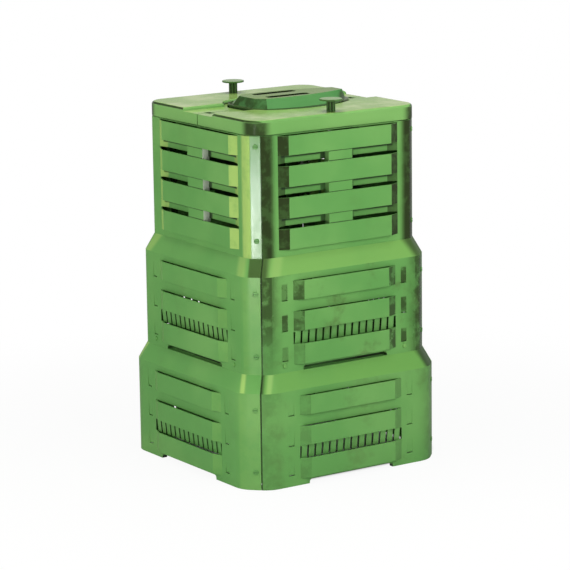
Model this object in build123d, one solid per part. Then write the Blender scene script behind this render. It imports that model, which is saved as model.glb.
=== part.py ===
from build123d import *
import os
from math import radians, sqrt, tan

os.makedirs("parts", exist_ok=True)

# Tiers: the bin is a square tower of three rings of panels, the origin under its centre
base_half = 345.0  # half the width of the lowest ring, across its faces
tier_step = 26.5  # how far each ring stands in from the one below
corner_radius = 70.0  # rounding beside the corner bevels of the lowest ring
corner_step = 22.0  # how much tighter that rounding is on each ring above
bevel_flat = 30.0  # flat strip on every corner
wall = 4.0  # moulded wall of the panels
wall_height = 284.0  # upright wall of the lower and middle rings
shoulder_height = 49.0  # sloped shoulder on top of those rings
upper_height = 352.0  # upright wall of the upper ring
seam_gap = 1.6  # open seam between neighbouring panels

# Seats between the rings
foot_height = 12.0  # thick bar along the bottom of each panel
foot_depth = 16.0
foot_clearance = 2.0  # between a foot bar and the lip inside it
lip_height = 32.0  # lip that stands up inside the ring above
lip_wall = 4.0
notch_half = 149.0  # half the width of the notch between the two feet
notch_height = 13.0
notch_rounding = 9.0

# Corner joints: a tongue behind the neighbour's bevel and two slotted pins through both
tongue = 3.0
tongue_gap = 0.4
tongue_margin = 2.0  # the tongue ends this far from the far edge of the bevel, and from its own panel's face
tongue_low = 20.0  # from the ring's bottom to the tongue
tongue_top = 18.0  # from the tongue's top to the top of the ring's wall
pin_radius = 4.0
pin_clearance = 0.2
pin_head_radius = 7.5
pin_head_height = 3.0
pin_slot_width = 2.0
pin_slot_depth = 1.4
pin_collar_radius = 5.4
pin_collar_height = 3.0
pin_low = 53.0  # lower and middle rings, from the ring's bottom to the lower pin
pin_top = 48.0  # from the upper pin to the top of the ring's wall
upper_pin_low = 51.0
upper_pin_top = 30.0

# Louvre rows of the lower and middle panels
row_tops = (265.0, 175.0)  # top edge of each board, from the ring's bottom
apron_top = 80.0  # top edge of the lowest board
apron_low = 20.0  # its bottom edge, clear of the notch
apron_pocket = 48.0  # height of the scoops beside it
board_height = 56.0
board_rise = 12.0  # how far a board stands out from the panel
board_half = 150.0  # half the length of a board's flat face
ramp_length = 31.0  # sloped end of a board
row_slot = 0.5  # open slot over the top of a board, besides the gap behind it
pillar_width = 20.0  # flat pillar beyond the ramp
pocket_width = 20.0  # scoop beyond the pillar
pocket_depth = 1.5  # at its lower end
pocket_slit = 2.5  # open slit under it
pocket_cheek = 3.0  # its side walls

# Comb grille of the lower and middle panels
comb_slots = 15
comb_pitch = 25.5
comb_slot_width = 6.5
comb_top = 115.0  # from the ring's bottom
comb_overlap = 2.0  # the teeth end this far below the top of the board in front of them
comb_lean = 4.0  # the free ends stand in by this much

# Clips between the middle and lower rings
clip_offset = 213.0  # from the middle of a face
clip_level = 20.0  # from the ring's bottom
clip_radius = 3.5
clip_clearance = 0.4
clip_head_radius = 7.0
clip_head_height = 3.5
clip_barb = 0.8
clip_barb_length = 5.0

# Boards of the upper panels
slat_count = 4
slat_first = 20.0  # bottom of the lowest board, from the ring's bottom
slat_head = 0.5  # from the boards to the top of the ring's wall, before the highest is trimmed
slat_height = 60.0
slat_top_trim = 4.0  # the highest board is lower by this
slat_top_slot = 2.5  # open slot along its top
slat_rise = 12.0
slat_half = 180.0
slat_ramp = 30.0
strip_recess = 9.0  # how far the strips between the boards stand in
slat_slot = 6.5  # open slot along the top of each board
slat_tab_width = 82.0  # bridge between two boards, in the middle
slat_tab_rise = 11.0

# Rim under the lid
rim_clearance = 2.5  # between the lid's skirt and the rim
rim_wall = 4.0
rim_ledge = 4.0

# Lid
lid_wall = 4.0
skirt_gap = 2.5  # under the lid's skirt
lid_corner = 56.0  # rounding of the lid's corners
skirt_height = 32.0
lid_seat = 0.3  # between the lid's plate and the rim
pad_rise = 10.0  # raised pads either side of the channel
pad_rounding = 9.0
channel_half = 78.0
split_half = 2.0  # half the gap between the two flaps
pad_margin = 8.0  # pad edge to the cut-out round the handle
flap_clearance = 3.0  # cut-out round the handle

# Hinges of the two flaps
hinge_offset = 9.0  # hinge line from the middle of the lid
hinge_drop = 5.0  # hinge line under the channel's floor
knuckle_radius = 5.0
knuckle_edge = 66.0  # from the lid's outer face to the first knuckle
knuckle_lengths = (15.0, 18.0, 15.0)  # flap, bridge, flap
knuckle_gap = 1.0
knuckle_relief = 1.5
hinge_pin_radius = 2.5
hinge_pin_clearance = 0.3

# Bridge that carries both flaps and the handle
bridge_half = 30.0
bridge_drop = 16.0  # bridge under the channel's floor
bridge_thickness = 10.0
bridge_rib = 8.0
bridge_rib_depth = 14.0
bridge_end_clearance = 0.5
rim_notch_clearance = 1.0
bridge_post = (-100.0, 160.0, 24.0)  # start, end and half width of the block under the handle

# Handle cap: a low boat-shaped hood with two finger slots
cap_foot = 3.0  # cap base above the bridge plate
cap_flange = 8.0
cap_flange_height = 5.0
cap_height = 33.5  # over the channel's floor
cap_wall = 4.0
cap_base = dict(left=-138.0, left_half=54.0, corner=-112.0, corner_half=98.0, bow=15.0, bow_half=128.0,
                right_half=32.0)
cap_crown = dict(left=-119.0, left_half=42.0, corner=-95.0, corner_half=65.0, bow=50.0, bow_half=65.0,
                 right_half=26.0)
cap_gap = 14.0  # from the cap's right end to the first knuckle
cap_end_slope = 9.0  # how far its crown ends short of its base there
finger_length = 146.0
finger_width = 30.0
grip_width = 42.0
boss_places = ((-92.0, 42.0), (120.0, 42.0))
boss_radius = 7.0
screw_radius = 2.5
screw_clearance = 0.2
screw_head_radius = 5.0
screw_head_height = 3.0
screw_grip = 12.0  # thread inside the boss

# Knobs that pin the outer edges of the flaps
knob_edge = 35.0  # from the lid's outer face
knob_head_radius = 33.0
knob_head_height = 5.0
knob_height = 37.5  # top of the head over the pad
knob_stem_radius = 13.0
knob_ribs = 8
knob_rib_radius = 2.6
knob_pin_radius = 7.0
knob_pin_length = 48.0  # under the top of the pad
knob_pin_clearance = 0.4
knob_seat = 0.3  # between the stem and the flap
knob_travel = 24.0
knob_collar_radius = 9.0
knob_collar_height = 4.0
lug_half = 26.0
lug_edge = 8.0  # lug beyond the slot for the knob's pin
lug_drop = 16.0  # top of the lug under the channel's floor
lug_thickness = 8.0
lug_slot = (24.0, 31.0)

# Places worked out from the sizes above
ring_pitch = wall_height + shoulder_height
upper_floor = 2 * ring_pitch
wall_top = upper_floor + upper_height
upper_half = base_half - 2 * tier_step
upper_radius = corner_radius - 2 * corner_step
lid_level = wall_top + skirt_gap + skirt_height
knob_offset = upper_half - knob_edge
knuckle_start = upper_half - knuckle_edge
cap_base["right"] = knuckle_start - cap_gap
cap_crown["right"] = cap_base["right"] - cap_end_slope
pin_heights = (pin_low, wall_height - pin_top)
upper_pin_heights = (upper_pin_low, upper_height - upper_pin_top)
slat_pitch = (upper_height - slat_first - slat_height - slat_head) / (slat_count - 1)
bridge_top = lid_level - bridge_drop
cap_top = lid_level + cap_height
rim_top = lid_level - lid_wall - lid_seat
hinge_level = lid_level - hinge_drop
pad_top = lid_level + pad_rise
knob_level = pad_top + knob_height
knob_pin_foot = pad_top - knob_pin_length
lug_bottom = lid_level - lug_drop - lug_thickness
far = 2 * base_half


def outline(half, radius):
    # Plan of a ring: a square with a flat bevel on each corner and rounding on both sides of it
    leg = (bevel_flat + 2 * radius * tan(radians(22.5))) / sqrt(2)
    near = half - leg
    points = [(half, -near), (half, near), (near, half), (-near, half),
              (-half, near), (-half, -near), (-near, -half), (near, -half)]
    plan = make_face(Polyline(*points, close=True))
    return fillet(plan.vertices(), radius)


def prism(half, radius, low, high):
    return extrude(Pos(0, 0, low) * outline(half, radius), high - low)


def tube(half, radius, outer_inset, inner_inset, low, high):
    # Upright ring between two insets from the outer face
    outside = prism(half - outer_inset, radius - outer_inset, low, high)
    return outside - prism(half - inner_inset, radius - inner_inset, low, high)


def frustum(half, radius, inset, low, high):
    # Sloped shoulder that narrows by one step
    foot = Pos(0, 0, low) * outline(half - inset, radius - inset)
    crown = Pos(0, 0, high) * outline(half - tier_step - inset, radius - corner_step - inset)
    return loft([foot, crown], ruled=True)


def lid_plan(inset):
    # Plan of the lid: a square with round corners
    width = 2 * (upper_half - inset)
    return RectangleRounded(width, width, lid_corner - inset)


def block(x0, x1, y0, y1, z0, z1):
    return Pos((x0 + x1) / 2, (y0 + y1) / 2, (z0 + z1) / 2) * Box(x1 - x0, y1 - y0, z1 - z0)


def plan_prism(points, low, high):
    return extrude(Pos(0, 0, low) * make_face(Polyline(*points, close=True)), high - low)


def bevel_distance(half, radius):
    # From the axis of the bin to the flat of a bevel
    leg = (bevel_flat + 2 * radius * tan(radians(22.5))) / sqrt(2)
    return sqrt(2) * (half - leg / 2)


def corner_plane(half, radius, level):
    # On the bevel at the front left corner: x runs along it towards the front, z points outwards
    reach = bevel_distance(half, radius) / sqrt(2)
    return Plane(origin=(-reach, -reach, level), x_dir=(1, -1, 0), z_dir=(-1, -1, 0))


def front_wedge(low, high):
    # Share of a ring that the front panel takes: from seam to seam, the right-hand bevel included
    side = bevel_flat / 2
    left_edge = (side + seam_gap / 2) * sqrt(2)
    right_edge = (side - seam_gap / 2) * sqrt(2)
    apex = ((left_edge + right_edge) / 2, (right_edge - left_edge) / 2)
    points = [apex, (apex[0] - far, apex[1] - far), (apex[0] + far, apex[1] - far)]
    return plan_prism(points, low, high)


def ramp_path(flat_half, foot_half, rise, face):
    return [(-foot_half, face), (-flat_half, face - rise), (flat_half, face - rise), (foot_half, face)]


def ramp_sheet(flat_half, foot_half, rise, face, low, high):
    # Moulded sheet that steps out from the panel by its rise, with sloped ends
    outside = ramp_path(flat_half, foot_half, rise, face)
    inside = [(x, y + wall) for x, y in reversed(outside)]
    return plan_prism(outside + inside, low, high)


def ramp_web(flat_half, foot_half, rise, back_rise, face, low, high):
    # Level web that closes the step between two sheets
    outside = ramp_path(flat_half, foot_half, rise, face)
    inside = [(x, y + wall) for x, y in reversed(ramp_path(flat_half, foot_half, back_rise, face))]
    return plan_prism(outside + inside, low, high)


def tongue_plate(half, radius, floor, height):
    # Its root stays inside the rounding of its own panel
    depth = wall + tongue_gap
    root = sqrt(radius**2 - (radius - depth) ** 2) - tongue_margin
    plate_length = bevel_flat - tongue_margin + root
    centre = (tongue_margin + root) / 2
    tall = height - tongue_top - tongue_low
    frame = corner_plane(half, radius, floor + tongue_low + tall / 2)
    return frame * Pos(centre, 0, -depth - tongue / 2) * Box(plate_length, tall, tongue)


def corner_pin():
    # Slotted head on the bevel, shank through bevel and tongue, collar behind the tongue
    grip = wall + tongue_gap + tongue + pin_clearance
    head = Pos(0, 0, pin_head_height / 2) * Cylinder(pin_head_radius, pin_head_height)
    head = chamfer(head.edges().sort_by(Axis.Z)[-1], pin_head_height / 3)
    slot_level = pin_head_height - pin_slot_depth / 2
    head -= Pos(0, 0, slot_level) * Box(2 * pin_head_radius, pin_slot_width, pin_slot_depth)
    shank = Pos(0, 0, -grip / 2) * Cylinder(pin_radius, grip)
    collar_level = -grip - pin_collar_height / 2
    return head + shank + Pos(0, 0, collar_level) * Cylinder(pin_collar_radius, pin_collar_height)


def pin_places(half, radius, floor, heights):
    return [corner_plane(half, radius, floor + height) for height in heights]


def pin_group(half, radius, floor, heights):
    pins = []
    for turn in range(4):
        for place in pin_places(half, radius, floor, heights):
            pins.append(Rot(0, 0, 90 * turn) * (place * corner_pin()))
    return Compound(children=pins)


def bore_corners(panel, half, radius, floor, heights):
    # Pin holes in the panel's own bevel and in its tongue
    depth = wall + tongue_gap + tongue
    for place in pin_places(half, radius, floor, heights):
        bore = place * Pos(0, 0, -depth / 2) * Cylinder(pin_radius + pin_clearance, 2 * depth)
        panel -= bore
        panel -= Rot(0, 0, 90) * bore
    return panel


def foot_notch(half, floor):
    gap = RectangleRounded(2 * notch_half, 2 * notch_height, notch_rounding)
    front = Plane(origin=(0, -half - foot_depth, floor), x_dir=(1, 0, 0), z_dir=(0, 1, 0))
    return extrude(front * gap, 3 * foot_depth)


def board(panel, half, low, top, slot):
    # One board that stands out from the panel, with an open slot along its top
    face = -half
    foot = board_half + ramp_length
    panel -= block(-foot, foot, face - 1, face + wall + 1, low, top + slot)
    panel += ramp_sheet(board_half, foot, board_rise, face, low, top)
    return panel + ramp_web(board_half, foot, board_rise, 0, face, low, low + wall)


def pockets(panel, half, low, top):
    # Scoop beyond the pillar at each end of a board: it deepens downwards and ends over a slit
    face = -half
    foot = low + pocket_slit
    tray = [(face, top), (face + wall, top), (face + pocket_depth + wall, foot), (face + pocket_depth, foot)]
    cheek = [(face, top), (face + wall, top), (face + pocket_depth + wall, foot), (face, foot)]
    side_view = Plane(origin=(0, 0, 0), x_dir=(0, 1, 0), z_dir=(1, 0, 0))
    scoop = extrude(side_view * make_face(Polyline(*tray, close=True)), pocket_width)
    flank = extrude(side_view * make_face(Polyline(*cheek, close=True)), pocket_cheek)
    start = board_half + ramp_length + pillar_width
    for left in (-start - pocket_width, start):
        panel -= block(left, left + pocket_width, face - 1, face + wall + 1, low, top)
        panel += Pos(left, 0, 0) * scoop
        for edge in (left - pocket_cheek, left + pocket_width):
            panel += Pos(edge, 0, 0) * flank
    return panel


def comb_grille(panel, half, floor):
    face = -half
    top = floor + comb_top
    low = floor + apron_top
    reach = (comb_slots - 1) * comb_pitch / 2 + comb_slot_width / 2
    panel -= block(-reach, reach, face - 1, face + wall + 1, low, top)
    free = low - comb_overlap
    profile = [(face, top), (face + wall, top), (face + wall + comb_lean, free), (face + comb_lean, free)]
    side_view = Plane(origin=(0, 0, 0), x_dir=(0, 1, 0), z_dir=(1, 0, 0))
    tooth_width = comb_pitch - comb_slot_width
    tooth = extrude(side_view * make_face(Polyline(*profile, close=True)), tooth_width)
    for index in range(comb_slots - 1):
        panel += Pos(-reach + comb_slot_width + index * comb_pitch, 0, 0) * tooth
    return panel


def clip_place(half, side):
    # On the face of the middle ring: z points outwards
    return Plane(origin=(side * clip_offset, -half, ring_pitch + clip_level), x_dir=(1, 0, 0), z_dir=(0, -1, 0))


def clip_holes(half):
    # Holes for the clips, through the wall of the middle ring and the lip of the lower ring
    depth = wall + foot_depth + foot_clearance + lip_wall
    hole = Pos(0, 0, -depth / 2) * Cylinder(clip_radius + clip_clearance, depth + 2)
    return [clip_place(half, side) * hole for side in (-1, 1)]


def stacked_panel(tier):
    # Front panel of the lower or the middle ring
    half = base_half - tier * tier_step
    radius = corner_radius - tier * corner_step
    floor = tier * ring_pitch
    brow = floor + wall_height
    crown = floor + ring_pitch
    ring = prism(half, radius, floor, brow) + frustum(half, radius, 0, brow, crown)
    ring -= prism(half - wall, radius - wall, floor, brow) + frustum(half, radius, wall, brow, crown)
    ring += tube(half, radius, wall / 2, foot_depth, floor, floor + foot_height)
    above = half - tier_step
    above_radius = radius - corner_step
    lip_outer = foot_depth + foot_clearance
    lip_inner = lip_outer + lip_wall
    ring += tube(above, above_radius, 0, lip_inner, crown - wall, crown)
    ring += tube(above, above_radius, lip_outer, lip_inner, crown - wall, crown + lip_height)
    panel = ring & front_wedge(floor, crown + lip_height)
    panel -= foot_notch(half, floor)
    for top in row_tops:
        panel = board(panel, half, floor + top - board_height, floor + top, row_slot)
        panel = pockets(panel, half, floor + top - board_height, floor + top)
    panel = board(panel, half, floor + apron_low, floor + apron_top, 0)
    panel = pockets(panel, half, floor + apron_top - apron_pocket, floor + apron_top)
    panel = comb_grille(panel, half, floor)
    panel += tongue_plate(half, radius, floor, wall_height)
    panel = bore_corners(panel, half, radius, floor, pin_heights)
    clip_face = half if tier == 1 else above
    for hole in clip_holes(clip_face):
        panel -= hole
    return panel


def upper_panel():
    # Front panel of the upper ring: four boards, the strips between them, and the rim for the lid
    face = -upper_half
    ring = tube(upper_half, upper_radius, 0, wall, upper_floor, wall_top)
    ring += tube(upper_half, upper_radius, wall / 2, foot_depth, upper_floor, upper_floor + foot_height)
    rim_outer = lid_wall + rim_clearance
    rim_inner = rim_outer + rim_wall
    ring += tube(upper_half, upper_radius, 0, rim_inner, wall_top - rim_ledge, wall_top)
    ring += tube(upper_half, upper_radius, rim_outer, rim_inner, wall_top - rim_ledge, rim_top)
    panel = ring & front_wedge(upper_floor, rim_top)
    foot = slat_half + slat_ramp
    field_low = upper_floor + slat_first
    field_high = field_low + (slat_count - 1) * slat_pitch + slat_height - slat_top_trim + slat_top_slot
    panel -= block(-foot, foot, face - 1, face + wall + 1, field_low, field_high)
    for index in range(slat_count):
        low = field_low + index * slat_pitch
        lowest = index == 0
        highest = index == slat_count - 1
        top = low + slat_height - (slat_top_trim if highest else 0)
        back = 0 if lowest else -strip_recess
        panel += ramp_sheet(slat_half, foot, slat_rise, face, low, top)
        panel += ramp_web(slat_half, foot, slat_rise, back, face, low, low + wall)
        if not highest:
            panel += ramp_sheet(slat_half, foot, -strip_recess, face, top + slat_slot, low + slat_pitch)
            panel += block(-slat_tab_width / 2, slat_tab_width / 2, face - slat_tab_rise,
                           face + strip_recess + wall, top - wall, low + slat_pitch)
    panel += tongue_plate(upper_half, upper_radius, upper_floor, upper_height)
    return bore_corners(panel, upper_half, upper_radius, upper_floor, upper_pin_heights)


def with_bridge_notch(panel):
    # Notch in the rim of a front panel, where an end of the bridge sits
    reach = bridge_half + rim_notch_clearance
    face = -upper_half
    return panel - block(-reach, reach, face + lid_wall, face + foot_depth + wall,
                         bridge_top - bridge_thickness, rim_top + 1)


def with_knob_lug(panel):
    # Lug inside the rim of a front panel, with the hole for the knob's pin
    inner = -upper_half + lid_wall + rim_clearance + rim_wall / 2
    reach = -knob_offset + lug_slot[1] / 2 + lug_edge
    lug = block(-lug_half, lug_half, inner, reach, lug_bottom, lug_bottom + lug_thickness)
    hole = RectangleRounded(lug_slot[0], lug_slot[1], lug_slot[0] / 3)
    return panel + lug - extrude(Pos(0, -knob_offset, lug_bottom) * hole, lug_thickness)


def tier_clip():
    # Round clip: button head on the middle ring's wall, barb behind the lower ring's lip
    grip = foot_depth + foot_clearance + lip_wall + clip_clearance
    head = Pos(0, 0, clip_head_height / 2) * Cylinder(clip_head_radius, clip_head_height)
    head = fillet(head.edges().sort_by(Axis.Z)[-1], clip_head_height * 0.7)
    length = grip + clip_barb_length
    shank = Pos(0, 0, -length / 2) * Cylinder(clip_radius, length)
    wide = clip_radius + clip_clearance + clip_barb
    barb = Pos(0, 0, -grip - clip_barb_length / 2) * Cone(clip_radius, wide, clip_barb_length)
    return head + shank + barb


def clip_group():
    half = base_half - tier_step
    clips = []
    for turn in range(4):
        for side in (-1, 1):
            clips.append(Rot(0, 0, 90 * turn) * (clip_place(half, side) * tier_clip()))
    return Compound(children=clips)


def cap_plan(shape, grow):
    # Boat-shaped plan of the handle cap, symmetrical about the channel
    left = shape["left"] - grow
    corner = shape["corner"] - grow / 2
    right = shape["right"] + grow
    left_half = shape["left_half"] + grow / 2
    corner_half = shape["corner_half"] + grow
    bow_half = shape["bow_half"] + grow
    right_half = shape["right_half"] + grow / 2
    front = Polyline((left, left_half), (left, -left_half), (corner, -corner_half))
    front_bow = ThreePointArc((corner, -corner_half), (shape["bow"], -bow_half), (right, -right_half))
    end = Line((right, -right_half), (right, right_half))
    rear_bow = ThreePointArc((right, right_half), (shape["bow"], bow_half), (corner, corner_half))
    rear = Line((corner, corner_half), (left, left_half))
    return make_face(Curve() + [front, front_bow, end, rear_bow, rear])


def cap_prism(grow, low, high):
    return extrude(Pos(0, 0, low) * cap_plan(cap_base, grow), high - low)


def hood(grow, low, high):
    return loft([Pos(0, 0, low) * cap_plan(cap_base, grow), Pos(0, 0, high) * cap_plan(cap_crown, grow)], ruled=True)


def handle_cap():
    base = lid_level + cap_foot
    cap = hood(0, base, cap_top) + cap_prism(0, lid_level, base)
    cap += cap_prism(cap_flange, base, base + cap_flange_height)
    cap -= hood(-cap_wall, base, cap_top - cap_wall) + cap_prism(-cap_wall, lid_level, base)
    for side in (-1, 1):
        middle = side * (grip_width + finger_width) / 2
        slot = RectangleRounded(finger_length, finger_width, finger_width / 3)
        cap -= extrude(Pos(0, middle, cap_top - 2 * cap_wall) * slot, 3 * cap_wall)
    for x, y in boss_places:
        for side in (-1, 1):
            boss = Pos(x, side * y, (lid_level + cap_top) / 2) * Cylinder(boss_radius, cap_top - lid_level)
            boss &= hood(0, base, cap_top) + cap_prism(0, lid_level, base)
            cap += boss - Pos(x, side * y, lid_level + screw_grip / 2) * Cylinder(screw_radius, screw_grip)
    return cap


def screw_group():
    screws = []
    under = lid_level - lid_wall
    length = lid_wall + screw_grip
    for x, y in boss_places:
        for side in (-1, 1):
            shank = Pos(x, side * y, under + length / 2) * Cylinder(screw_radius, length)
            head = Pos(x, side * y, under - screw_head_height / 2) * Cylinder(screw_head_radius, screw_head_height)
            screws.append(shank + head)
    return Compound(children=screws)


def knuckle_spans():
    # Start and end of the three knuckles of one hinge, outwards from the middle
    spans = []
    start = knuckle_start
    for length in knuckle_lengths:
        spans.append((start, start + length))
        start += length + knuckle_gap
    return spans


def along_x(radius, start, end, y, z):
    return Pos((start + end) / 2, y, z) * Rot(0, 90, 0) * Cylinder(radius, end - start)


def lid_bridge():
    floor = bridge_top - bridge_thickness
    reach = upper_half - lid_wall - rim_clearance - bridge_end_clearance
    bridge = block(-reach, reach, -bridge_half, bridge_half, floor, bridge_top)
    rib_reach = reach - foot_depth
    bridge += block(-rib_reach, rib_reach, -bridge_rib / 2, bridge_rib / 2, floor - bridge_rib_depth, floor)
    bridge += block(bridge_post[0], bridge_post[1], -bridge_post[2], bridge_post[2], bridge_top, lid_level - lid_wall)
    bridge += cap_prism(cap_flange - flap_clearance, lid_level - lid_wall, lid_level)
    for x, y in boss_places:
        for side in (-1, 1):
            bore = Cylinder(screw_radius + screw_clearance, 4 * lid_wall)
            bridge -= Pos(x, side * y, lid_level) * bore
    for side in (-1, 1):
        start, end = sorted((side * knuckle_spans()[1][0], side * knuckle_spans()[1][1]))
        for line in (-hinge_offset, hinge_offset):
            post = block(start, end, line - knuckle_radius, line + knuckle_radius, bridge_top, hinge_level)
            bridge += post + along_x(knuckle_radius, start, end, line, hinge_level)
            bridge -= along_x(hinge_pin_radius, start, end, line, hinge_level)
    return bridge


def pad(inset, low, high):
    # Raised pad of the front flap: lid outline, channel edge and a cut round the handle
    plan = lid_plan(inset)
    keep = Pos(0, -far / 2 - channel_half - inset, 0) * Rectangle(2 * far, far)
    plan = plan & keep
    plan -= cap_plan(cap_base, cap_flange + flap_clearance + pad_margin + inset)
    return extrude(Pos(0, 0, low) * plan, high - low)


def front_flap():
    skirt_foot = wall_top + skirt_gap
    shell = extrude(Pos(0, 0, skirt_foot) * lid_plan(0), lid_level - skirt_foot)
    shell -= extrude(Pos(0, 0, skirt_foot) * lid_plan(lid_wall), lid_level - lid_wall - skirt_foot)
    raised = pad(0, lid_level, pad_top)
    raised = fillet(raised.edges().group_by(Axis.Z)[-1], pad_rounding)
    flap = shell + raised - pad(lid_wall + pad_rounding, lid_level - lid_wall, pad_top - lid_wall)
    flap -= block(-far, far, -split_half, far, skirt_foot - 1, pad_top + 1)
    flap -= cap_prism(cap_flange + flap_clearance, lid_level - 2 * lid_wall, pad_top)
    spans = knuckle_spans()
    for side in (-1, 1):
        start, end = sorted((side * (spans[1][0] - knuckle_gap), side * (spans[1][1] + knuckle_gap)))
        reach = hinge_offset + knuckle_radius + knuckle_relief
        flap -= block(start, end, -reach, 0, hinge_level - 2 * knuckle_radius, lid_level + 1)
        for span in (spans[0], spans[2]):
            start, end = sorted((side * span[0], side * span[1]))
            flap += along_x(knuckle_radius, start, end, -hinge_offset, hinge_level)
            bore = hinge_pin_radius + hinge_pin_clearance
            flap -= along_x(bore, start, end, -hinge_offset, hinge_level)
    hole = Cylinder(knob_pin_radius + knob_pin_clearance, 4 * lid_wall)
    return flap - Pos(0, -knob_offset, pad_top) * hole


def hinge_pins(line):
    spans = knuckle_spans()
    pins = []
    for side in (-1, 1):
        start, end = sorted((side * spans[0][0], side * spans[2][1]))
        pins.append(along_x(hinge_pin_radius, start, end, line, hinge_level))
    return Compound(children=pins)


def front_knob():
    # Flat head, ribbed stem on the flap, pin through the flap and the lug
    seat = pad_top + knob_seat
    head_foot = knob_level - knob_head_height
    head = Pos(0, 0, knob_level - knob_head_height / 2) * Cylinder(knob_head_radius, knob_head_height)
    head = fillet(head.edges().filter_by(GeomType.CIRCLE), knob_head_height / 3)
    stem_length = head_foot - seat
    stem_level = seat + stem_length / 2
    stem = Pos(0, 0, stem_level) * Cylinder(knob_stem_radius - knob_rib_radius, stem_length)
    for place in PolarLocations(knob_stem_radius - knob_rib_radius, knob_ribs):
        stem += Pos(0, 0, stem_level) * place * Cylinder(knob_rib_radius, stem_length)
    pin = Pos(0, 0, (seat + knob_pin_foot) / 2) * Cylinder(knob_pin_radius, seat - knob_pin_foot)
    pin = chamfer(pin.edges().sort_by(Axis.Z)[0], knob_pin_radius / 3)
    collar_top = pad_top - lid_wall - knob_travel - knob_seat
    collar = Pos(0, 0, collar_top - knob_collar_height / 2) * Cylinder(knob_collar_radius, knob_collar_height)
    return Pos(0, -knob_offset, 0) * (head + stem + pin + collar)


def save(name, shape):
    export_step(shape, os.path.join("parts", name + ".step"))


sides = ("front", "right", "rear", "left")
lower = stacked_panel(0)
middle = stacked_panel(1)
upper = upper_panel()
upper_kinds = {"front": with_knob_lug(upper), "right": with_bridge_notch(upper)}
upper_kinds["rear"] = upper_kinds["front"]
upper_kinds["left"] = upper_kinds["right"]
for turn, side in enumerate(sides):
    spin = Rot(0, 0, 90 * turn)
    save("lower_" + side + "_panel", spin * lower)
    save("middle_" + side + "_panel", spin * middle)
    save("upper_" + side + "_panel", spin * upper_kinds[side])

middle_half = base_half - tier_step
middle_radius = corner_radius - corner_step
save("lower_corner_pins", pin_group(base_half, corner_radius, 0, pin_heights))
save("middle_corner_pins", pin_group(middle_half, middle_radius, ring_pitch, pin_heights))
save("upper_corner_pins", pin_group(upper_half, upper_radius, upper_floor, upper_pin_heights))
save("tier_clips", clip_group())

save("lid_bridge", lid_bridge())
save("handle_cap", handle_cap())
save("handle_screws", screw_group())
save("front_hinge_pins", hinge_pins(-hinge_offset))
save("rear_hinge_pins", hinge_pins(hinge_offset))

flap = front_flap()
knob = front_knob()
save("front_lid", flap)
save("rear_lid", mirror(flap, about=Plane.XZ))
save("front_knob", knob)
save("rear_knob", mirror(knob, about=Plane.XZ))
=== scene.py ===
import math
import bpy
from mathutils import Matrix, Vector

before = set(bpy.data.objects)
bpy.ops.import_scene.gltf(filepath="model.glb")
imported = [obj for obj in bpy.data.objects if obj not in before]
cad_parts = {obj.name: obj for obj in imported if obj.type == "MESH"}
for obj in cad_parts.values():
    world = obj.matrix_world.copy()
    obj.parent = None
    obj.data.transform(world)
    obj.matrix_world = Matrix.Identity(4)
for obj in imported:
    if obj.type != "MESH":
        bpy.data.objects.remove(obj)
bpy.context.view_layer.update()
scene = bpy.context.scene
scene.view_settings.view_transform = "Standard"
print("frame loaded,", len(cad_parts), "nodes")


def addNode(tree, kind, settings=None, inputs=None):
    node = tree.nodes.new(kind)
    for key, value in (settings or {}).items():
        setattr(node, key, value)
    for key, value in (inputs or {}).items():
        if hasattr(value, "is_output"):
            tree.links.new(value, node.inputs[key])
        else:
            node.inputs[key].default_value = value
    return node


def addMath(tree, operation, first, second=0.0, third=0.0):
    inputs = {0: first, 1: second, 2: third}
    return addNode(tree, "ShaderNodeMath", {"operation": operation}, inputs).outputs[0]


def product(tree, first, *others):
    for other in others:
        first = addMath(tree, "MULTIPLY", first, other)
    return first


def larger(tree, first, *others):
    for other in others:
        first = addMath(tree, "MAXIMUM", first, other)
    return first


def opposite(tree, share):
    return addMath(tree, "SUBTRACT", 1.0, share)


def vectorMath(tree, operation, first, second=(0.0, 0.0, 0.0)):
    node = addNode(tree, "ShaderNodeVectorMath", {"operation": operation}, {0: first, 1: second})
    return node.outputs["Value" if operation in ("LENGTH", "DOT_PRODUCT") else "Vector"]


def axes(tree, vector):
    return addNode(tree, "ShaderNodeSeparateXYZ", {}, {0: vector}).outputs


def mixColors(tree, amount, first, second):
    settings = {"data_type": "RGBA", "clamp_factor": True}
    return addNode(tree, "ShaderNodeMix", settings, {0: amount, 6: first, 7: second}).outputs[2]


def mixValues(tree, amount, first, second):
    return addNode(tree, "ShaderNodeMix", {"data_type": "FLOAT"}, {0: amount, 2: first, 3: second}).outputs[0]


def ramp(tree, value, low, high, toLow=0.0, toHigh=1.0):
    settings = {"clamp": True, "interpolation_type": "SMOOTHSTEP"}
    inputs = {0: value, 1: low, 2: high, 3: toLow, 4: toHigh}
    return addNode(tree, "ShaderNodeMapRange", settings, inputs).outputs[0]


def emptyTree(owner):
    owner.use_nodes = True
    owner.node_tree.nodes.clear()
    return owner.node_tree


def closeTree(tree, shader, kind="ShaderNodeOutputMaterial"):
    tree.links.new(shader.outputs[0], addNode(tree, kind).inputs[0])


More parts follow.
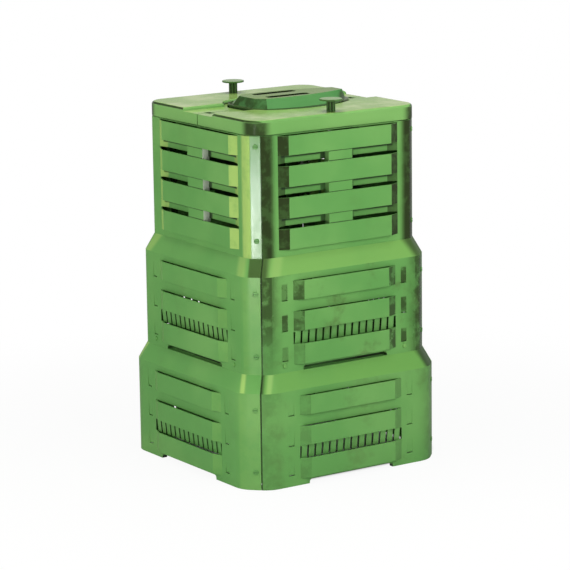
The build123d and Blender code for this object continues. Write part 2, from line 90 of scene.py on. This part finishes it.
# Noise for each kind of mottling: scale, detail and roughness
grains = {
    "patches": (3.2, 3.0, 0.55),
    "blotches": (26.0, 3.0, 0.6),
    "smudges": (9.0, 5.0, 0.65),
    "topSpots": (8.0, 4.0, 0.6),
    "scuffs": (60.0, 3.0, 0.6),
    "smears": (7.0, 4.0, 0.6),
    "waves": (11.0, 1.0, 0.4),
    "moulding": (1100.0, 2.0, 0.5),
    "zinc": (240.0, 3.0, 0.6),
}
levels = {  # where each starts to show and where it is full
    "patches": (0.38, 0.68),
    "cover": (0.25, 0.60),
    "blotches": (0.36, 0.56),
    "smudges": (0.52, 0.72),
    "topSpots": (0.46, 0.68),
    "scuffs": (0.35, 0.70),
    "smears": (0.30, 0.70),
    "zinc": (0.30, 0.70),
    "rubbed": (0.98, 0.86),  # how far the rounded normal leaves the flat one
}


def noise(tree, place, grain):
    scale, detail, rough = grains[grain]
    inputs = {"Vector": place, "Scale": scale, "Detail": detail, "Roughness": rough}
    return addNode(tree, "ShaderNodeTexNoise", {}, inputs).outputs["Fac"]


def mottle(tree, place, grain, *shares):
    return ramp(tree, noise(tree, place, grain), *levels[grain], *shares)


# Moulded green plastic: flat faces carry a fine moulding grain, turned corners and ramps are polished and
# carry a painted reflection
plastic = {
    "face": (0.118, 0.335, 0.080, 1.0),
    "pale": (0.160, 0.390, 0.100, 1.0),  # lighter patches where the mould flowed
    "edge": (0.230, 0.480, 0.140, 1.0),  # rubbed edges, lighter also as a painted highlight
    "smudge": (0.085, 0.150, 0.038, 1.0),
    "mottle": 0.2,
    "cover": (0.55, 1.0),  # least and most of each area's colour, mostly painted light and shade
    "wear": (0.20, 0.65),  # least and most on a rounded edge, of wear and painted light
    "faceRough": 0.40,
    "roughSpread": 0.06,
    "turnRough": 0.13,
    "gloss": 0.35,
    "edgeRadius": 0.0016,
    "waveDepth": 0.0020,
    "waveShare": (0.30, 0.02),  # on the walls, and on the flatter bevels
    "grainDepth": 0.0004,
    "grainShare": 0.10,
}
# Painted reflections on the turned corners, ramps and chamfers: dark, pale and bright
paintedDarkReflection = (0.024, 0.042, 0.010, 1.0)
paintedPaleReflection = (0.310, 0.520, 0.130, 1.0)
paintedBrightReflection = (0.390, 0.590, 0.155, 1.0)
paintedRecessShade = (0.010, 0.016, 0.006, 1.0)  # painted shade in slits, seams, finger slots, stem grooves, notch lips and on pin and clip rims
boardShade = (0.020, 0.045, 0.014, 1.0)
cornerShade = (0.060, 0.120, 0.030, 1.0)

# Which way a face looks, by the upward and sideways parts of its normal
facing = {
    "upright": (0.35, 0.15),
    "turned": (0.985, 0.945),
    "bevel": (0.80, 0.74),
    "shoulder": ((0.36, 0.42), (0.75, 0.65)),
    "chamfer": ((0.25, 0.40), (0.95, 0.88)),
    "sideways": (0.30, 0.45),
    "top": (0.90, 0.97),
    "endOn": (0.90, 0.96),
    "slotWall": (0.80, 0.60),
    "stemWall": (0.60, 0.40),
}

# Places on the bin, in metres; at a corner they are the larger of |x| and |y| less the smaller
corners = {
    "bandEdge": 0.002,
    "seamLine": (0.0268, 0.0252),
    "fade": (0.042, 0.026),
    "darkEnd": (0.080, 0.050),
    "glint": (0.055, 0.016),  # middle and reach of the painted highlight strip on a shoulder's rounding
}
crossSeam = (-0.0001, 0.0001)  # sign of x times y at the end with the seam, front and rear panels
sideSeam = (0.0001, -0.0001)  # and on the side panels
scoops = {"front": (0.0001, 0.0003), "back": (0.014, 0.012), "start": (0.185, 0.190)}
slitEnds = (0.186, 0.183)
bridgeEnds = (0.052, 0.048)
strips = {  # recessed strips between the upper boards, with a bridge in the middle
    "first": 0.6860,
    "pitch": 0.0905,
    "board": 0.060,
    "half": (0.210, 0.208),
    "face": (0.289, 0.287),
    "shade": (0.0115, 0.0065),  # below each board
    "bridgeShade": (0.061, 0.055),  # beside the bridge
    "bridgeHalf": (0.0416, 0.0412),
    "bridgeFace": (0.303, 0.0005),
    "footLine": (0.0030, 0.0022),
    "headLine": (0.0026, 0.0018),
}
fingerSlots = {"long": (0.0745, 0.0735), "far": (0.0525, 0.0515), "near": (0.0195, 0.0205)}
stemGrooves = {"axis": 0.257, "radius": (0.0122, 0.0108)}


def readSurface(tree, look):
    coords = addNode(tree, "ShaderNodeTexCoord")
    place = coords.outputs["Object"]
    sideX, sideY, up = axes(tree, vectorMath(tree, "ABSOLUTE", coords.outputs["Normal"]))
    spotX, spotY, height = axes(tree, vectorMath(tree, "ABSOLUTE", place))
    outer = addMath(tree, "MAXIMUM", spotX, spotY)
    inner = addMath(tree, "MINIMUM", spotX, spotY)
    signed = axes(tree, place)
    seamEnd = ramp(tree, product(tree, signed[0], signed[1]), *look.get("seamEnd", crossSeam))
    return {
        "place": place,
        "sides": (sideX, sideY),
        "spots": (spotX, spotY),
        "up": up,
        "height": height,
        "square": larger(tree, sideX, sideY),
        "upright": ramp(tree, up, *facing["upright"]),
        "outer": outer,
        "inner": inner,
        "corner": addMath(tree, "SUBTRACT", outer, inner),  # small near a corner's middle
        "seamEnd": seamEnd,
        "bevelEnd": opposite(tree, seamEnd),
    }


def polishedAndPaintedArea(tree, at, look):
    area = ramp(tree, at["square"], *facing["turned"])
    if "band" in look:  # painted reflection on a strip of wall beside each corner
        band = look["band"]
        area = product(tree, area, ramp(tree, at["corner"], band, band + corners["bandEdge"]))
        strip = ramp(tree, at["corner"], band, band - look["fade"])
        if look.get("bevelEndOnly"):
            strip = product(tree, strip, at["bevelEnd"])
        area = larger(tree, area, strip)
    if "wallFace" in look:  # painted dark reflection on the scoops, just behind the wall's face
        front, back = ([look["wallFace"] - depth for depth in scoops[key]] for key in ("front", "back"))
        behind = product(tree, ramp(tree, at["outer"], *front), ramp(tree, at["outer"], *back))
        area = larger(tree, area, product(tree, behind, ramp(tree, at["inner"], *scoops["start"])))
    area = product(tree, area, at["upright"])
    if "lowFade" in look:  # the seam end is less dark low down
        rise = ramp(tree, at["height"], *look["lowFade"], look["lowShare"], 1.0)
        area = product(tree, area, larger(tree, rise, at["bevelEnd"]))
    if look.get("chamfers"):  # painted reflection on sloping edges that face sideways
        slope = product(tree, *(ramp(tree, at["up"], *limits) for limits in facing["chamfer"]))
        area = larger(tree, area, product(tree, slope, ramp(tree, at["sides"][0], *facing["sideways"])))
    return area


def bevelArea(tree, at, look):
    return product(tree, ramp(tree, at["square"], *facing["bevel"]), at["upright"])


# Sloping shoulder faces; a look's shoulder colour there is painted light
def shoulderArea(tree, at, look):
    return product(tree, *(ramp(tree, at["up"], *limits) for limits in facing["shoulder"]))


# Painted shade on a shoulder's rounding beside the corner
def shoulderCornerArea(tree, at, look):
    area = ramp(tree, at["corner"], *look.get("cornerFade", corners["fade"]))
    if look.get("darkEnd"):  # the end with the bevel is dark further out
        wide = ramp(tree, at["corner"], *corners["darkEnd"])
        area = larger(tree, area, product(tree, wide, at["bevelEnd"]))
    return product(tree, shoulderArea(tree, at, look), area)


# Painted highlight strip on a shoulder's rounding
def shoulderArcArea(tree, at, look):
    middle, reach = look.get("glintAt", corners["glint"])
    near = ramp(tree, at["corner"], middle - reach, middle - reach / 4)
    far = ramp(tree, at["corner"], middle + reach, middle + reach / 4)
    area = product(tree, near, far)
    if look.get("darkEnd"):  # the end with the bevel has no pale strip
        area = product(tree, area, at["seamEnd"])
    return product(tree, shoulderArea(tree, at, look), area)


# Painted shade along each seam
def seamArea(tree, at, look):
    return product(tree, at["seamEnd"], ramp(tree, at["corner"], *corners["seamLine"]))


# Painted shade on the strips below each upper board and beside the bridge, and painted shade lines at the
# bridge's foot and head
def underBoardArea(tree, at, look):
    pitch = strips["pitch"]
    level = addMath(tree, "MODULO", addMath(tree, "SUBTRACT", at["height"], strips["first"]), pitch)
    shade = ramp(tree, level, *(pitch - depth for depth in strips["shade"]))
    shade = larger(tree, shade, ramp(tree, at["inner"], *strips["bridgeShade"]))
    shade = product(tree, shade, ramp(tree, at["outer"], *strips["face"]))
    shade = product(tree, shade, ramp(tree, at["inner"], *strips["half"]))
    foot = ramp(tree, level, *(strips["board"] + rise for rise in strips["footLine"]))
    head = ramp(tree, level, *(pitch - depth for depth in strips["headLine"]))
    line = product(tree, larger(tree, foot, head), ramp(tree, at["inner"], *strips["bridgeHalf"]))
    line = product(tree, line, addMath(tree, "COMPARE", at["outer"], *strips["bridgeFace"]))
    return product(tree, larger(tree, shade, line), at["upright"])


# Faces looking up; a look's top colour there is painted light
def topArea(tree, at, look):
    return ramp(tree, at["up"], *facing["top"])


def endFaces(tree, at, limits):
    ends = [product(tree, ramp(tree, side, *facing["endOn"]), ramp(tree, spot, *limits))
            for side, spot in zip(at["sides"], at["spots"])]
    return larger(tree, *ends)


# Painted highlight on the end faces of the bridges
def bridgeEndArea(tree, at, look):
    return endFaces(tree, at, bridgeEnds)


# Painted shade on the end faces of the slits
def slitArea(tree, at, look):
    return endFaces(tree, at, slitEnds)


# Painted shade on the walls of the cap's finger slots
def fingerSlotArea(tree, at, look):
    along, across = at["spots"]
    span = product(tree, ramp(tree, along, *fingerSlots["long"]), ramp(tree, across, *fingerSlots["far"]))
    span = product(tree, span, ramp(tree, across, *fingerSlots["near"]))
    return product(tree, span, ramp(tree, at["up"], *facing["slotWall"]))


# Painted shade in the grooves round the knob stems
def grooveArea(tree, at, look):
    gapX = at["spots"][0]
    gapY = addMath(tree, "SUBTRACT", at["spots"][1], stemGrooves["axis"])
    squares = addMath(tree, "ADD", product(tree, gapX, gapX), product(tree, gapY, gapY))
    area = ramp(tree, addMath(tree, "SQRT", squares), *stemGrooves["radius"])
    return product(tree, area, ramp(tree, at["up"], *facing["stemWall"]))


# Painted shade on the cap below its flange
def footArea(tree, at, look):
    return ramp(tree, at["height"], *look["footLevel"])


# Painted shade on the lower ring's lip, inside the notch
def lipArea(tree, at, look):
    return ramp(tree, at["height"], *look["lipLevel"])


areaMakers = {  # each is painted over the ones before it
    "bevel": bevelArea,
    "shoulder": shoulderArea,
    "shoulderCorner": shoulderCornerArea,
    "shoulderArc": shoulderArcArea,
    "seam": seamArea,
    "underBoard": underBoardArea,
    "top": topArea,
    "bridgeEnd": bridgeEndArea,
    "slit": slitArea,
    "fingerSlot": fingerSlotArea,
    "groove": grooveArea,
    "foot": footArea,
    "lip": lipArea,
}


def plasticColor(tree, at, look, turned, rounded):
    place = at["place"]
    patches = noise(tree, place, "patches")
    color = mixColors(tree, ramp(tree, patches, *levels["patches"]), look.get("face", plastic["face"]),
                      look.get("pale", plastic["pale"]))
    if "smudge" in look:
        smudges = product(tree, mottle(tree, place, "smudges"), look["smudge"])
        color = mixColors(tree, smudges, color, plastic["smudge"])
    # painted reflection in the look's turn colour
    color = mixColors(tree, turned, color, look["turn"])
    cover = ramp(tree, patches, *levels["cover"], *plastic["cover"])
    for area, makeArea in areaMakers.items():
        if area in look:
            color = mixColors(tree, product(tree, makeArea(tree, at, look), cover), color, look[area])
    # Painted highlight spots on faces looking up
    if "topSpots" in look:
        spots = product(tree, topArea(tree, at, look), mottle(tree, place, "topSpots"))
        color = mixColors(tree, spots, color, look["topSpots"])
    # Rounded edges: wear and a painted highlight; pins and clips get painted shade on their rims
    flat = addNode(tree, "ShaderNodeNewGeometry").outputs["Normal"]
    rubbed = ramp(tree, vectorMath(tree, "DOT_PRODUCT", rounded, flat), *levels["rubbed"])
    shares = [share * look.get("wear", 1.0) for share in plastic["wear"]]
    wear = product(tree, rubbed, mottle(tree, place, "scuffs", *shares))
    return mixColors(tree, wear, color, look.get("edge", plastic["edge"]))


def plasticBump(tree, at, look, rounded):
    calm = ramp(tree, bevelArea(tree, at, look), 0.0, 1.0, *plastic["waveShare"])
    waves = addNode(tree, "ShaderNodeBump", {}, {
        "Strength": calm,
        "Distance": plastic["waveDepth"],
        "Height": noise(tree, at["place"], "waves"),
        "Normal": rounded,
    })
    grain = addNode(tree, "ShaderNodeBump", {}, {
        "Strength": plastic["grainShare"],
        "Distance": plastic["grainDepth"],
        "Height": noise(tree, at["place"], "moulding"),
        "Normal": waves.outputs[0],
    })
    return grain.outputs[0]


def mouldedPlastic(name, look):
    mat = bpy.data.materials.new(name)
    tree = emptyTree(mat)
    at = readSurface(tree, look)
    blotches = mottle(tree, at["place"], "blotches", 1.0 - look.get("mottle", plastic["mottle"]), 1.0)
    turned = product(tree, polishedAndPaintedArea(tree, at, look), blotches, look["share"])
    rounded = addNode(tree, "ShaderNodeBevel", {"samples": 4}, {"Radius": plastic["edgeRadius"]}).outputs[0]
    faceRough = look.get("rough", plastic["faceRough"])
    spread = plastic["roughSpread"]
    smears = mottle(tree, at["place"], "smears", faceRough - spread, faceRough + spread)
    body = addNode(tree, "ShaderNodeBsdfPrincipled", {}, {
        "Base Color": plasticColor(tree, at, look, turned, rounded),
        "Roughness": mixValues(tree, turned, smears, plastic["turnRough"]),
        "IOR": 1.5,
        "Specular IOR Level": look.get("gloss", plastic["gloss"]),
        "Normal": plasticBump(tree, at, look, rounded),
    })
    closeTree(tree, body)
    return mat


# Plain zinc plated steel for the hidden pins and screws
steel = {"color": (0.55, 0.56, 0.57, 1.0), "dull": (0.42, 0.43, 0.44, 1.0), "rough": (0.24, 0.42)}


def platedSteel(name):
    mat = bpy.data.materials.new(name)
    tree = emptyTree(mat)
    zinc = noise(tree, addNode(tree, "ShaderNodeTexCoord").outputs["Object"], "zinc")
    body = addNode(tree, "ShaderNodeBsdfPrincipled", {}, {
        "Base Color": mixColors(tree, zinc, steel["color"], steel["dull"]),
        "Metallic": 1.0,
        "Roughness": ramp(tree, zinc, *levels["zinc"], *steel["rough"]),
    })
    closeTree(tree, body)
    return mat


# How each ring, side and small piece differs: turn and share are the colour and strength of the painted
# reflection on the polished areas, and an area's name gives that area a colour, mostly painted light and
# shade; front and rear panels are shaded copies, the side panels lit ones
looks = {
    "upperCross": dict(
        turn=paintedDarkReflection, share=1.0, band=0.078, fade=0.026, mottle=0.15, smudge=0.10,
        bridgeEnd=(0.220, 0.450, 0.140, 1.0), underBoard=boardShade,
    ),
    "middleCross": dict(
        turn=paintedDarkReflection, share=0.85, band=0.112, fade=0.072, lowFade=(0.34, 0.50), lowShare=0.25,
        wallFace=0.3185, mottle=0.5, smudge=0.75, slit=paintedRecessShade, seam=paintedRecessShade, darkEnd=True,
        shoulder=(0.190, 0.420, 0.095, 1.0), shoulderCorner=cornerShade, cornerFade=(0.062, 0.036),
        shoulderArc=(0.250, 0.470, 0.120, 1.0), glintAt=(0.078, 0.026),
    ),
    "lowerCross": dict(
        turn=paintedDarkReflection, share=0.28, band=0.120, fade=0.080, mottle=0.6, smudge=0.35,
        slit=paintedRecessShade, seam=paintedRecessShade, darkEnd=True, lip=paintedRecessShade, lipLevel=(0.3334, 0.3342),
        shoulder=(0.150, 0.370, 0.080, 1.0), shoulderCorner=(0.040, 0.090, 0.024, 1.0),
        shoulderArc=(0.270, 0.490, 0.130, 1.0),
    ),
    "upperSide": dict(
        turn=paintedBrightReflection, share=0.95, band=0.068, fade=0.012, bevelEndOnly=True, seamEnd=sideSeam,
        mottle=0.25, smudge=0.10, bevel=(0.170, 0.340, 0.150, 1.0),
        bridgeEnd=(0.860, 0.910, 0.780, 1.0), underBoard=boardShade,
    ),
    "middleSide": dict(
        turn=paintedPaleReflection, share=0.14, mottle=0.5, smudge=0.15, slit=paintedRecessShade, seam=paintedRecessShade, seamEnd=sideSeam,
        shoulderCorner=cornerShade, cornerFade=(0.036, 0.026),
        shoulderArc=(0.260, 0.470, 0.120, 1.0), glintAt=(0.064, 0.030),
    ),
    "lowerSide": dict(
        turn=paintedPaleReflection, share=0.16, mottle=0.5, smudge=0.15, slit=paintedRecessShade, seam=paintedRecessShade, seamEnd=sideSeam,
        lip=paintedRecessShade, lipLevel=(0.3334, 0.3342), shoulderArc=(0.340, 0.560, 0.140, 1.0),
    ),
    "lid": dict(
        turn=paintedDarkReflection, share=0.95, band=0.066, fade=0.034, chamfers=True, mottle=0.15, rough=0.10, gloss=0.42,
        face=(0.170, 0.400, 0.105, 1.0), pale=(0.210, 0.450, 0.125, 1.0),
        top=(0.300, 0.490, 0.125, 1.0), topSpots=(0.480, 0.620, 0.260, 1.0),
    ),
    # Painted shade: the bridge under the cap is coloured nearly black
    "bridge": dict(
        turn=paintedDarkReflection, share=0.6, face=(0.016, 0.036, 0.010, 1.0), pale=(0.024, 0.050, 0.014, 1.0),
    ),
    "cap": dict(
        turn=paintedDarkReflection, share=0.85, chamfers=True, mottle=0.5, rough=0.20, gloss=0.22, fingerSlot=paintedRecessShade,
        face=(0.072, 0.245, 0.070, 1.0), pale=(0.090, 0.270, 0.078, 1.0), top=(0.165, 0.275, 0.055, 1.0),
        foot=(0.026, 0.044, 0.014, 1.0), footLevel=(1.0614, 1.0604),
    ),
    "knob": dict(
        turn=paintedDarkReflection, share=0.6, mottle=0.4, rough=0.15, groove=paintedRecessShade,
        face=(0.060, 0.140, 0.038, 1.0), pale=(0.080, 0.190, 0.050, 1.0), top=(0.230, 0.380, 0.140, 1.0),
    ),
    # Pins and clips: painted shade on their rounded rims
    "pin": dict(turn=paintedDarkReflection, share=0.1, edge=paintedRecessShade, wear=1.5),
    "clip": dict(turn=paintedPaleReflection, share=0.2, pale=(0.200, 0.430, 0.110, 1.0), edge=paintedRecessShade, wear=1.5),
}
finishes = {name: mouldedPlastic(name + "Plastic", look) for name, look in looks.items()}
finishes["steel"] = platedSteel("platedSteel")
smallPieces = {"pins": "pin", "clips": "clip", "knob": "knob", "cap": "cap", "bridge": "bridge", "lid": "lid"}


def finishFor(node):
    words = node.split("_")
    if words[-1] == "panel":
        return words[0] + ("Cross" if words[1] in ("front", "rear") else "Side")
    if words[-1] in ("screws", "pins") and words[1] != "corner":
        return "steel"
    return smallPieces[words[-1]]


for node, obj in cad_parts.items():
    obj.data.materials.clear()
    obj.data.materials.append(finishes[finishFor(node)])
print("finishes on all nodes")

# Studio: white floor, three soft lamps and one narrow lamp that draws the highlight on the front left corner
studio = {
    "floorSize": 40.0,
    "floorColor": (0.86, 0.87, 0.86, 1.0),
    "shadowHalf": 0.34,  # unlit floor inside the bin and behind it, away from the lamps
    "shadowShift": 0.045,
    "shadowRounding": 0.15,
    "shadowEdge": 0.03,
    "shadowShare": 0.07,  # faint shade round the bin
    "shadowReach": (1.9, 0.7),
    "fillLevel": 0.20,
    "floorGlint": 0.25,  # how bright the floor is in reflections
    "horizonGlint": 0.42,
    "skyGlint": 0.15,
    "glintRise": (0.26, 0.45),
    "white": (1.0, 1.0, 1.0, 1.0),
}


def seenRays(tree):
    path = addNode(tree, "ShaderNodeLightPath").outputs
    seen = larger(tree, path["Is Camera Ray"], path["Is Glossy Ray"], path["Is Transmission Ray"])
    return seen, path["Is Glossy Ray"]


def floorShade(tree):
    place = addNode(tree, "ShaderNodeNewGeometry").outputs["Position"]
    shift = studio["shadowShift"]
    rounding = studio["shadowRounding"]
    core = studio["shadowHalf"] - rounding
    moved = vectorMath(tree, "SUBTRACT", place, (shift, shift, 0.0))
    past = vectorMath(tree, "SUBTRACT", vectorMath(tree, "ABSOLUTE", moved), (core, core, 0.0))
    reach = vectorMath(tree, "LENGTH", vectorMath(tree, "MAXIMUM", past))
    inside = ramp(tree, reach, rounding + studio["shadowEdge"], rounding)
    away = vectorMath(tree, "LENGTH", place)
    return larger(tree, ramp(tree, away, *studio["shadowReach"], 0.0, studio["shadowShare"]), inside)


def makeFloor():
    half = studio["floorSize"] / 2
    mesh = bpy.data.meshes.new("floor")
    spots = [(-half, -half, 0), (half, -half, 0), (half, half, 0), (-half, half, 0)]
    mesh.from_pydata(spots, [], [(0, 1, 2, 3)])
    floor = bpy.data.objects.new("floor", mesh)
    scene.collection.objects.link(floor)
    mat = bpy.data.materials.new("paleFloor")
    tree = emptyTree(mat)
    seen, glossy = seenRays(tree)
    amount = product(tree, seen, opposite(tree, floorShade(tree)))
    strength = mixValues(tree, glossy, 1.0, studio["floorGlint"])
    glow = addNode(tree, "ShaderNodeEmission", {}, {"Color": studio["white"], "Strength": strength})
    plain = addNode(tree, "ShaderNodeBsdfDiffuse", {}, {"Color": studio["floorColor"]})
    mix = addNode(tree, "ShaderNodeMixShader", {}, {0: amount, 1: plain.outputs[0], 2: glow.outputs[0]})
    closeTree(tree, mix)
    mesh.materials.append(mat)


def makeWorld():
    world = bpy.data.worlds.new("studio")
    scene.world = world
    tree = emptyTree(world)
    seen, glossy = seenRays(tree)
    rise = axes(tree, addNode(tree, "ShaderNodeTexCoord").outputs["Generated"])[2]
    glint = ramp(tree, rise, *studio["glintRise"], studio["horizonGlint"], studio["skyGlint"])
    level = mixValues(tree, glossy, mixValues(tree, seen, studio["fillLevel"], 1.0), glint)
    back = addNode(tree, "ShaderNodeBackground", {}, {"Color": studio["white"], "Strength": level})
    closeTree(tree, back, "ShaderNodeOutputWorld")


# Each lamp: compass angle from the front (left is negative), distance, height, the height it aims at,
# width, tall, brightness, colour and whether it shows in reflections
lamps = {
    "leftSoft": dict(
        angle=-98, away=2.3, height=1.35, aim=0.6, wide=1.3, tall=1.0, level=4.15,
        color=(1.0, 0.99, 0.92), shows=False,
    ),
    "frontSoft": dict(
        angle=4, away=2.0, height=1.45, aim=0.6, wide=1.6, tall=1.2, level=4.2,
        color=(1.0, 1.0, 0.98), shows=False,
    ),
    "topSoft": dict(
        angle=0, away=0.01, height=3.0, aim=0.5, wide=2.0, tall=2.0, level=3.4,
        color=(1.0, 1.0, 0.97), shows=False,
    ),
    "cornerStrip": dict(
        angle=-56.7, away=2.38, height=0.41, aim=0.41, wide=0.22, tall=0.38, level=34.0,
        color=(1.0, 1.0, 1.0), shows=True,
    ),
}


def makeLamp(name, lamp):
    turn = math.radians(lamp["angle"])
    spotX = math.sin(turn) * lamp["away"]
    spotY = -math.cos(turn) * lamp["away"]
    data = bpy.data.lights.new(name, "AREA")
    data.shape = "RECTANGLE"
    data.size = lamp["wide"]
    data.size_y = lamp["tall"]
    data.color = lamp["color"]
    data.energy = lamp["level"] * math.pi * lamp["wide"] * lamp["tall"]
    obj = bpy.data.objects.new(name, data)
    obj.location = (spotX, spotY, lamp["height"])
    aim = Vector((-spotX, -spotY, lamp["aim"] - lamp["height"]))
    obj.rotation_euler = aim.to_track_quat("-Z", "Y").to_euler()
    obj.visible_camera = False
    obj.visible_glossy = lamp["shows"]
    scene.collection.objects.link(obj)


makeFloor()
makeWorld()
for name, lamp in lamps.items():
    makeLamp(name, lamp)
print("studio ready")

# Camera at the photograph's viewing angle
shot = {
    "place": (-4.4801, -6.6421, 2.1758),
    "turn": 34.036,
    "tilt": -11.743,
    "roll": -0.772,
    "lens": 172.844,
    "sensor": 36.0,
    "reach": 100.0,
}


def makeCamera():
    turn, tilt, roll = (math.radians(shot[key]) for key in ("turn", "tilt", "roll"))
    forward = Vector((math.sin(turn) * math.cos(tilt), math.cos(turn) * math.cos(tilt), math.sin(tilt)))
    right = forward.cross(Vector((0, 0, 1))).normalized()
    up = right.cross(forward)
    sideways = math.cos(roll) * right + math.sin(roll) * up
    upwards = -math.sin(roll) * right + math.cos(roll) * up
    data = bpy.data.cameras.new("camera")
    data.lens = shot["lens"]
    data.sensor_width = shot["sensor"]
    data.clip_end = shot["reach"]
    camera = bpy.data.objects.new("camera", data)
    pose = Matrix((sideways, upwards, -forward)).transposed().to_4x4()
    pose.translation = Vector(shot["place"])
    camera.matrix_world = pose
    scene.collection.objects.link(camera)
    scene.camera = camera


makeCamera()
print("camera set")
